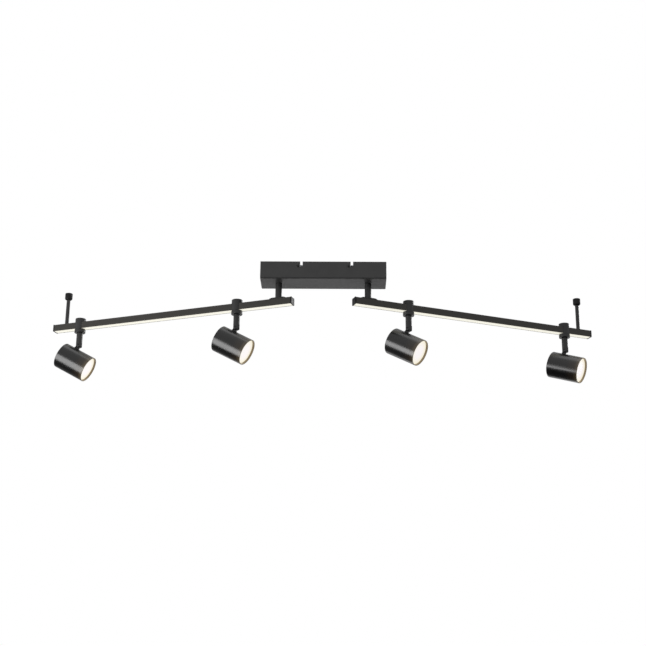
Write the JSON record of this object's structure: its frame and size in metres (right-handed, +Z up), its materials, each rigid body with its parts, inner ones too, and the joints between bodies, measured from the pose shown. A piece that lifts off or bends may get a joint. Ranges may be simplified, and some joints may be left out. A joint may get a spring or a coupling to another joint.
{
  "type": "ceiling track light",
  "caption": "Black ceiling light: a box canopy carries swivelling light bars, with sliding clamps that hold spot heads which pan and tilt, and rods that steady the bars.",
  "frame": {"origin": "middle of the ceiling bracket's top face, in the ceiling plane", "axes": "+X along the canopy, +Y to the back, +Z up into the ceiling; the fixture hangs below z = 0"},
  "size_m": [1.138, 0.2395, 0.1958],
  "materials": {
    "black_paint": "black satin powder coat on steel",
    "black_screw": "blackened steel",
    "black_aluminium": "black satin powder coat on aluminium",
    "black_anodised": "black anodised extrusion",
    "black_plastic": "moulded black",
    "zinc_steel": "zinc-plated",
    "white_plastic": "moulded white",
    "lead_sleeve": "white sleeve",
    "circuit_board": "white circuit board",
    "copper": "bright copper contact",
    "aluminium": "turned, bare",
    "opal_diffuser": "opal, lit warm white"
  },
  "bodies": {
    "canopy": {"ceiling_bracket": "zinc_steel", "canopy_cover": "black_paint", "cover_screw_front_left": "black_screw", "cover_screw_front_right": "black_screw", "cover_screw_rear_left": "black_screw", "cover_screw_rear_right": "black_screw", "led_driver": "white_plastic", "terminal_block": "white_plastic", "driver_lead_left": "lead_sleeve", "driver_lead_right": "lead_sleeve"},
    "arm_left": {"stem_left": "black_paint", "stem_nut_left": "zinc_steel", "saddle_left": "black_paint", "light_bar_left": "black_anodised", "conductor_rail_left": "copper", "bar_diffuser_left": "opal_diffuser", "led_strip_left": "circuit_board", "bar_cap_left_inner": "black_plastic", "bar_cap_left_outer": "black_plastic", "support_rod_left": "black_paint"},
    "foot_left": {"support_foot_left": "black_plastic"},
    "arm_right": {"stem_right": "black_paint", "stem_nut_right": "zinc_steel", "saddle_right": "black_paint", "light_bar_right": "black_anodised", "conductor_rail_right": "copper", "bar_diffuser_right": "opal_diffuser", "led_strip_right": "circuit_board", "bar_cap_right_inner": "black_plastic", "bar_cap_right_outer": "black_plastic", "support_rod_right": "black_paint"},
    "foot_right": {"support_foot_right": "black_plastic"},
    "clamp_left_outer": {"clamp_left_outer": "black_aluminium", "contact_shoe_left_outer": "copper"},
    "pan_left_outer": {"pan_stem_left_outer": "black_aluminium", "tilt_pin_left_outer": "black_screw"},
    "head_left_outer": {"head_housing_left_outer": "black_aluminium", "led_module_left_outer": "aluminium", "head_diffuser_left_outer": "opal_diffuser"},
    "clamp_left_inner": {"clamp_left_inner": "black_aluminium", "contact_shoe_left_inner": "copper"},
    "pan_left_inner": {"pan_stem_left_inner": "black_aluminium", "tilt_pin_left_inner": "black_screw"},
    "head_left_inner": {"head_housing_left_inner": "black_aluminium", "led_module_left_inner": "aluminium", "head_diffuser_left_inner": "opal_diffuser"},
    "clamp_right_inner": {"clamp_right_inner": "black_aluminium", "contact_shoe_right_inner": "copper"},
    "pan_right_inner": {"pan_stem_right_inner": "black_aluminium", "tilt_pin_right_inner": "black_screw"},
    "head_right_inner": {"head_housing_right_inner": "black_aluminium", "led_module_right_inner": "aluminium", "head_diffuser_right_inner": "opal_diffuser"},
    "clamp_right_outer": {"clamp_right_outer": "black_aluminium", "contact_shoe_right_outer": "copper"},
    "pan_right_outer": {"pan_stem_right_outer": "black_aluminium", "tilt_pin_right_outer": "black_screw"},
    "head_right_outer": {"head_housing_right_outer": "black_aluminium", "led_module_right_outer": "aluminium", "head_diffuser_right_outer": "opal_diffuser"}
  },
  "joints": [
    {"name": "arm_swivel_left", "type": "hinge", "parent": "canopy", "child": "arm_left", "pos_m": [-0.089, 0, -0.05], "axis": [0, 0, 1], "range_deg": [-70.3, 109.7]},
    {"name": "foot_turn_left", "type": "hinge", "parent": "arm_left", "child": "foot_left", "pos_m": [-0.5442, 0.16299, -0.007], "axis": [0, 0, 1], "continuous": true},
    {"name": "arm_swivel_right", "type": "hinge", "parent": "canopy", "child": "arm_right", "pos_m": [0.089, 0, -0.05], "axis": [0, 0, 1], "range_deg": [-112.1, 67.9]},
    {"name": "foot_turn_right", "type": "hinge", "parent": "arm_right", "child": "foot_right", "pos_m": [0.53698, 0.1819, -0.007], "axis": [0, 0, 1], "continuous": true},
    {"name": "slide_left_outer", "type": "slide", "parent": "arm_left", "child": "clamp_left_outer", "axis": [-0.9415, 0.3371, 0], "range_m": [-0.1, 0.018]},
    {"name": "pan_left_outer", "type": "hinge", "parent": "clamp_left_outer", "child": "pan_left_outer", "pos_m": [-0.51266, 0.15169, -0.1], "axis": [0, 0, 1], "range_deg": [-170, 170]},
    {"name": "tilt_left_outer", "type": "hinge", "parent": "pan_left_outer", "child": "head_left_outer", "pos_m": [-0.51266, 0.15169, -0.1185], "axis": [0.0785, 0.9969, 0], "range_deg": [-29, 61]},
    {"name": "slide_left_inner", "type": "slide", "parent": "arm_left", "child": "clamp_left_inner", "axis": [-0.9415, 0.3371, 0], "range_m": [-0.06, 0.15]},
    {"name": "pan_left_inner", "type": "hinge", "parent": "clamp_left_inner", "child": "pan_left_inner", "pos_m": [-0.17373, 0.03034, -0.1], "axis": [0, 0, 1], "range_deg": [-170, 170]},
    {"name": "tilt_left_inner", "type": "hinge", "parent": "pan_left_inner", "child": "head_left_inner", "pos_m": [-0.17373, 0.03034, -0.1185], "axis": [0.225, 0.9744, 0], "range_deg": [-29, 61]},
    {"name": "slide_right_inner", "type": "slide", "parent": "arm_right", "child": "clamp_right_inner", "axis": [0.9265, 0.3762, 0], "range_m": [-0.0585, 0.1515]},
    {"name": "pan_right_inner", "type": "hinge", "parent": "clamp_right_inner", "child": "pan_right_inner", "pos_m": [0.171, 0.0333, -0.1], "axis": [0, 0, 1], "range_deg": [-170, 170]},
    {"name": "tilt_right_inner", "type": "hinge", "parent": "pan_right_inner", "child": "head_right_inner", "pos_m": [0.171, 0.0333, -0.1185], "axis": [0.4226, 0.9063, 0], "range_deg": [-29, 61]},
    {"name": "slide_right_outer", "type": "slide", "parent": "arm_right", "child": "clamp_right_outer", "axis": [0.9265, 0.3762, 0], "range_m": [-0.099, 0.019]},
    {"name": "pan_right_outer", "type": "hinge", "parent": "clamp_right_outer", "child": "pan_right_outer", "pos_m": [0.50501, 0.16892, -0.1], "axis": [0, 0, 1], "range_deg": [-170, 170]},
    {"name": "tilt_right_outer", "type": "hinge", "parent": "pan_right_outer", "child": "head_right_outer", "pos_m": [0.50501, 0.16892, -0.1185], "axis": [0.4695, 0.8829, 0], "range_deg": [-19, 71]}
  ]
}
